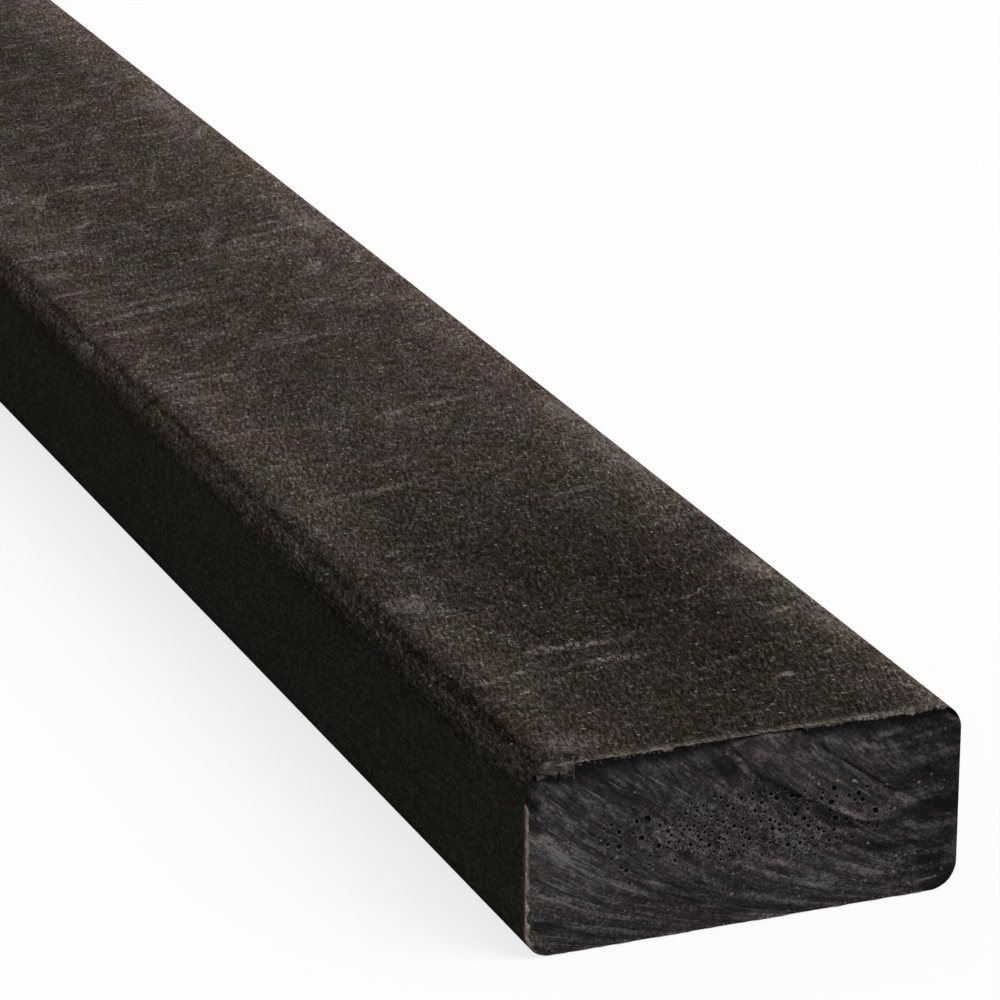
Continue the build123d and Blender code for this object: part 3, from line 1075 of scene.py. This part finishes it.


# Lighter and darker patches on the front end: place across and up, half their length and width, turn,
# and how much lighter, and thin pale scratches from one place across and up to another. The patches are
# partly the cut's own tone and partly painted light: the darker ones under the lip and along the tongue's
# edges are painted shadow, and the pale ones on the tongue's ridge and tip are painted highlight
end_patches = [
    (-36, 19, 11, 5, -38, 0.3), (-40, 5.6, 5.5, 1.6, -8, -0.5), (-24, 4, 8, 0.9, -13, -0.4),
    (-23, 11, 6, 1.8, -25, 0.45), (3, 10.5, 8, 2.0, -24, 0.1), (12, 9.5, 7, 1.6, -22, 0.1),
    (26, 7, 9, 1.3, -14, 0.4), (-3, 3.2, 13, 1.6, -5, -0.45), (26.5, 11.3, 5, 2, -20, -0.6),
    (39, 7.5, 4.5, 4, 0, -0.4), (38.5, 21.2, 4, 0.9, -6, 0.5), (39, 18, 4, 1.8, 0, -0.5),
    (38, 29.5, 5, 0.35, -2, 0.6), (26, 31.6, 6, 1.1, -8, 0.6), (30, 33.6, 4.5, 0.8, 12, 0.5),
    (-5, 32.6, 5, 2.8, -45, -0.7), (10, 31.5, 12, 3.5, -36, 0.2), (-30, 34.5, 10, 1.5, -10, -0.4),
    (36, 13.5, 6, 1.2, -10, 0.25), (-24, 29, 10, 4, -40, -0.25), (17.5, 18.6, 4, 1.5, -38, -0.75),
    (8, 24.8, 5, 1.8, -28, -0.7), (-23, 22, 5, 4, -30, -0.25), (40, 34, 4, 1.5, 0, -0.4),
    (21, 18.9, 4.5, 0.9, -35, 0.7), (21.5, 16.6, 5, 1.0, -25, -0.75), (-0.8, 32.2, 5.5, 0.8, -47, 0.8),
    (38, 24.5, 6, 1.2, 2, -0.5), (33, 27, 5, 0.8, -6, 0.35), (37, 10, 5, 1.0, -5, -0.5),
    (2, 33.6, 3, 1.8, -40, 0.45), (9.5, 34.2, 6, 1.6, -5, -0.35), (24, 34.2, 5, 1.8, 0, -0.4),
    (36.5, 30, 6, 2.6, 0, -0.5), (-2, 30, 3.2, 2.6, -45, -0.4), (2, 26, 3.4, 2.6, -20, -0.45),
    (10, 22, 3.6, 2.8, -20, -0.55), (19.5, 22.3, 5, 2.4, -30, 0.3), (26, 18.2, 7, 2.8, -8, 0.35),
    (-42, 26, 3.2, 2.6, 0, -0.4), (-28, 14, 5, 2.6, -25, 0.35), (20.5, 14, 5, 2.4, -12, -0.4),
    (15.5, 6, 7, 2.2, -10, 0.3), (42, 11.5, 2.6, 4, 0, -0.3), (42.3, 24, 2.2, 5, 0, -0.3),
]
end_scratches = [
    ((-34, 33.5), (-26, 27.5), 0.22), ((-29, 34), (-21.5, 28.4), 0.2), ((-22, 34.5), (-14, 28.6), 0.24),
    ((-40.5, 32), (-35, 27.4), 0.2), ((-42, 23), (-31, 14.5), 0.3), ((-38, 29), (-33, 24), 0.2),
    ((-16, 31), (-10, 26.5), 0.2), ((6, 12), (9, 10.3), 0.2), ((35, 2.3), (42, 3.0), 0.3),
    ((-43, 17), (-34, 11), 0.25), ((22, 24.5), (27, 21), 0.2), ((24, 9.5), (33, 6), 0.25),
]


def sawn_face():
    """The sawn ends: streaks along the saw's curved tracks, cool grey over near black."""
    material, place = new_finish("sawn_face")
    x, across, up = place.parts()
    climb = (up + saw_drop / mm).at_least(0.2)
    track = across + (climb * (2 * saw_radius / mm - climb)).root()

    def drawn_out(over, along):
        """Places by which a pattern is drawn out along the saw's tracks, or level."""
        return place.node("ShaderNodeCombineXYZ", None, {"X": over, "Y": along, "Z": x * 0.05})

    streak_place = drawn_out(track, up * 0.3)
    crumb_place = drawn_out(track, up * 0.55)
    hair_place = drawn_out(track, up * 0.07)
    level_place = drawn_out(up, across * 0.2)
    to_right = across.rise(23, 32)

    # Streaks where the saw smeared the plastic, and a crumbly grain, mostly over the foamed core
    smeared = either(to_right, clumps(streak_place, 0.8, 3, 0.7), clumps(level_place, 0.9, 3, 0.7))
    broad = either(to_right, clumps(streak_place, 3.6, 3, 0.65), clumps(level_place, 3.2, 3, 0.65))
    speckle = clumps(place, 0.6, 2, 0.7)
    pits = clumps(place, 1.7, 2, 0.6)
    powder = clumps(place, 0.32, 1)
    core = laid(place, (front / mm, 1, 19), (math.radians(-8), 0, 0), (4000, 30, 9.5))
    core = core.length().rise(1.15, 0.6)
    core_place = laid(place, (0, 0, 0), (math.radians(-50), 0, 0), (1, 1.7, 0.85))
    crumbs = either(core, clumps(crumb_place, 0.7, 3, 0.75), clumps(core_place, 0.8, 3, 0.75))
    blotches = either(core, clumps(crumb_place, 2.8, 2, 0.6), clumps(core_place, 2.6, 2, 0.6))
    flat_tongue = laid(place, (front / mm, 9, 28.5), (tongue_slope, 0, 0), (30, 19, 5))
    flat_tongue = flat_tongue.length().rise(1.1, 0.7)
    streaked = (1 - 0.4 * core) * (1 - 0.6 * flat_tongue)
    stops = 0.5 * (smeared - 0.5) * streaked
    stops = stops + 1.2 * (crumbs - 0.5) * (0.75 - 0.1 * core - 0.2 * flat_tongue)
    stops = stops + (0.9 + 0.5 * up.rise(13, 6) + 0.4 * to_right) * (speckle - 0.5)
    stops = stops + (broad - 0.5) * (0.95 + 1.0 * to_right - 0.25 * flat_tongue)
    stops = stops + (blotches - 0.5) * (0.65 - 0.1 * core) - 0.3 * core * pits.rise(0.5, 0.32)
    stops = stops + 1.2 * core * (powder - 0.5)
    wavy = ragged(place, crumb_place, 2.2, 0.8)
    # Patches of the cut's own tone, with painted shadow under the lip and along the tongue, and painted
    # highlight on its ridge and tip
    for *where, lighter in end_patches:
        stops = stops + end_patch(wavy, *where) * (0.55 * lighter)
    low_right = up.rise(9, 5) * across.rise(-6, 6) * across.rise(39, 35)
    tone = 0.33 + 0.05 * across.rise(-20, -42) + 0.05 * across.rise(-37, -42.5) - 0.1 * to_right
    tone = tone - 0.07 * across.rise(36, 41) - 0.055 * up.rise(12, 4) - 0.09 * up.rise(4.5, 2)
    tone = (tone + 0.08 * low_right + 0.1 * core) * (1 - 0.22 * flat_tongue)
    tone = tone * 55 ** stops.at_most(0.34)
    warm = clumps(crumb_place, 6, 3, 0.6).rise(0.38, 0.62)
    warm = (0.9 * warm + 0.4 * core + 0.4 * flat_tongue + 0.2 * up.rise(9, 4)).at_most(1)
    colour = shaded(tone, blend(warm, cool_cut, warm_cut))

    # Thin pale scratches along the tracks, and pale specks
    broken = clumps(streak_place, 1.2, 2).rise(0.35, 0.6)
    lines = any_of([end_scratch(place, *line) for line in end_scratches]) * broken
    hair = clumps(hair_place, 0.4, 1).rise(0.6, 0.72) * clumps(place, 8, 2).rise(0.42, 0.6) * (1 - to_right)
    colour = blend((lines * 0.6).at_least(hair * 0.3), colour, cut_scratch)
    colour = blend(specks(place, 1.7, 0.36, 0.16) * 0.6, colour, cut_fleck)
    # Painted shade in the hollow under the lip
    colour = shaded(1 - 0.72 * marked(place, "hollow"), colour)
    colour = blend(marked(place, "torn"), colour, torn_colour(place))
    height = smeared * 0.35 * streaked + broad * 0.4 + crumbs * 0.6 + speckle * 0.4
    return finish_off(material, colour, 0.5 + 0.2 * smeared, bumps(height, 0.16 * mm), 0.06)


def burr(name, light, spread):
    """The plastic in and round the open bubbles, light where the saw raised a burr, dark inside."""
    material, place = new_finish(name)
    grain = clumps(place, 0.7, 3, 0.7)
    colour = shaded(light * 6 ** (spread * (grain - 0.5)), burr_tint)
    return finish_off(material, colour, 0.6 + 0.2 * grain, bumps(grain, 0.06 * mm), 0.06)


board = make_board()
bpy.ops.object.select_all(action="DESELECT")
board.select_set(True)
bpy.context.view_layer.objects.active = board
bpy.ops.object.shade_smooth_by_angle(angle=math.radians(42))
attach(board, "root")
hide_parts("board")


# Floor and light

def seen(start):
    """1 for the rays that show the floor or the world, straight or in a reflection."""
    rays = start.node("ShaderNodeLightPath").socket.node
    kinds = ("Is Camera Ray", "Is Glossy Ray", "Is Transmission Ray")
    return any_of([Reading(start.tree, rays.outputs[kind]) for kind in kinds])


floor_size = 60
floor_drop = 0.2 * mm
pale = (0.9, 0.9, 0.9, 1)
dim = (0.14, 0.14, 0.14, 1)
pure_white = (1, 1, 1, 1)
white_share = 0.8
fill_strength = 0.3
sun_strength = 0.95 * math.pi
sun_spread = math.radians(50)
towards_sun = Vector((0.67, 0.5, 1))
bpy.ops.object.select_all(action="DESELECT")
bpy.ops.mesh.primitive_plane_add(size=floor_size, location=(0, 0, -floor_drop))
floor = bpy.context.object
floor.name = "floor"
pale_floor = bpy.data.materials.new("pale_floor")
pale_floor.use_nodes = True
pale_floor.node_tree.nodes.clear()
blank = Reading(pale_floor.node_tree, None)
lit_floor = blank.node("ShaderNodeBsdfDiffuse", None, {"Color": pale})
dim_floor = blank.node("ShaderNodeBsdfDiffuse", None, {"Color": dim})
white = blank.node("ShaderNodeEmission", None, {"Color": pure_white, "Strength": 1})
bright_floor = blank.node("ShaderNodeMixShader", None, {0: white_share, 1: lit_floor, 2: white})
shown = blank.node("ShaderNodeMixShader", None, {0: seen(blank), 1: dim_floor, 2: bright_floor})
blank.node("ShaderNodeOutputMaterial", None, {"Surface": shown})
floor.data.materials.append(pale_floor)

world = bpy.data.worlds.new("studio")
bpy.context.scene.world = world
world.use_nodes = True
world.node_tree.nodes.clear()
air = Reading(world.node_tree, None)
fill = air.node("ShaderNodeBackground", None, {"Color": pure_white, "Strength": fill_strength})
white_air = air.node("ShaderNodeBackground", None, {"Color": pure_white, "Strength": 1})
around = air.node("ShaderNodeMixShader", None, {0: seen(air), 1: fill, 2: white_air})
air.node("ShaderNodeOutputWorld", None, {"Surface": around})

bpy.ops.object.light_add(type="SUN")
lamp = bpy.context.object
lamp.name = "soft_light"
lamp.data.energy = sun_strength
lamp.data.angle = sun_spread
lamp.rotation_euler = towards_sun.to_track_quat("Z", "Y").to_euler()
bpy.context.scene.view_settings.view_transform = "Standard"

# Camera, its eye and aim placed from the middle of the front end's lower edge
sensor_width = 36
lens_length = 188.63
nearest_seen = 0.05
furthest_seen = 200
eye = Vector((front + 808.96 * mm, -382.22 * mm, 413.5 * mm))
aim = Vector((front - 132.35 * mm, 4.98 * mm, thickness))
roll = math.radians(0.28)
camera_data = bpy.data.cameras.new("camera")
camera = bpy.data.objects.new("camera", camera_data)
bpy.context.collection.objects.link(camera)
camera_data.sensor_width = sensor_width
camera_data.lens = lens_length
camera_data.clip_start = nearest_seen
camera_data.clip_end = furthest_seen
looking = (aim - eye).to_track_quat("-Z", "Y").to_matrix().to_4x4() @ Matrix.Rotation(roll, 4, "Z")
camera.matrix_world = Matrix.Translation(eye) @ looking
bpy.context.scene.camera = camera
